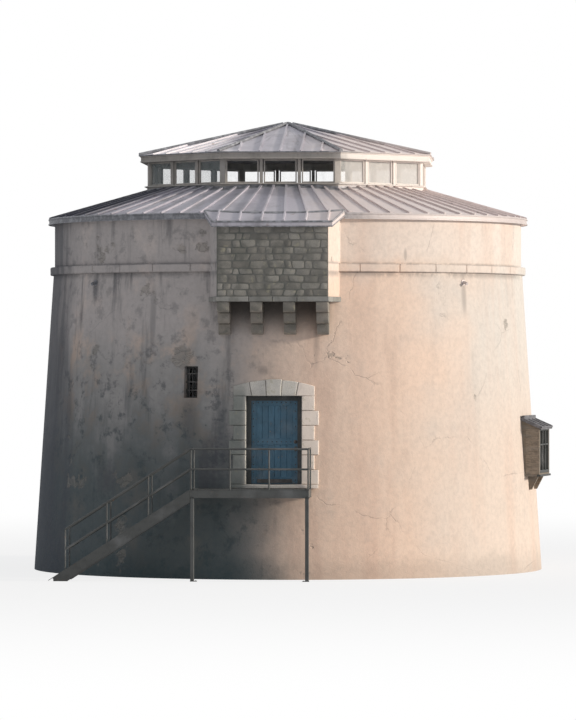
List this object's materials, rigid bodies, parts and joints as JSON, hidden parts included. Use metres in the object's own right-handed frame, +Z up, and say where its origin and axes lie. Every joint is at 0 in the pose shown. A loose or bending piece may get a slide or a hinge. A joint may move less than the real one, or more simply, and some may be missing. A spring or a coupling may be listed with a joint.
{
  "type": "martello tower",
  "caption": "Round battered stone gun tower with a first-floor door under a box machicolation, and a seamed metal roof with a glazed octagonal lantern.",
  "frame": {"origin": "on the tower's axis, at the foot of the wall", "axes": "+Z up along the tower's axis, -Y out through the doorway, +X to the right of someone who faces the door"},
  "size_m": [12.9232, 13.624, 11.1586],
  "materials": {
    "masonry": "weathered lime render over rubble",
    "dressed_stone": "tooled granite",
    "timber": "weathered board",
    "dark_timber": "dark paint",
    "door_paint": "blue gloss paint, worn",
    "iron": "blackened",
    "glass": "clear",
    "roof_metal": "standing-seam sheet, matt",
    "dark_metal": "dark satin paint"
  },
  "bodies": {
    "tower": {"wall_under_door": "masonry", "wall_over_door": "masonry", "wall_door_left": "masonry", "wall_door_right": "masonry", "wall_left_1": "masonry", "wall_left_2": "masonry", "wall_left_3": "masonry", "wall_left_4": "masonry", "wall_right_1": "masonry", "wall_right_2": "masonry", "wall_right_3": "masonry", "wall_right_4": "masonry", "string_course": "dressed_stone", "parapet_left_1": "masonry", "parapet_left_2": "masonry", "parapet_right_1": "masonry", "parapet_right_2": "masonry", "machicolation_corbels": "dressed_stone", "machicolation_ledge": "dressed_stone", "machicolation_box": "masonry", "ground_floor": "dressed_stone", "first_floor": "timber", "gun_platform_vault": "dressed_stone", "door_surround": "dressed_stone", "door_sill": "dressed_stone", "door_frame": "dark_timber", "door_pins": "iron", "slot_window_frames": "dark_timber", "window_glass": "glass", "side_window_box": "timber", "side_window_hood": "dark_metal", "lower_roof": "roof_metal", "machicolation_roof": "roof_metal", "lantern_curb": "dark_metal", "lantern_posts": "dark_metal", "lantern_glass": "glass", "lantern_beam": "dark_metal", "upper_roof": "roof_metal", "roof_cap": "dark_metal", "roof_seams": "roof_metal", "upper_roof_seams": "roof_metal", "stair_landing": "dark_metal", "stair_treads": "dark_metal", "stair_stringers": "dark_metal", "landing_rails": "dark_metal", "flight_rails": "dark_metal"},
    "door": {"door_leaf": "door_paint", "door_ironwork": "iron"}
  },
  "joints": [
    {"name": "door_hinge", "type": "hinge", "parent": "tower", "child": "door", "pos_m": [-0.575, -5.64899, 3.26], "axis": [0, 0, 1], "range_deg": [0, 90]}
  ]
}
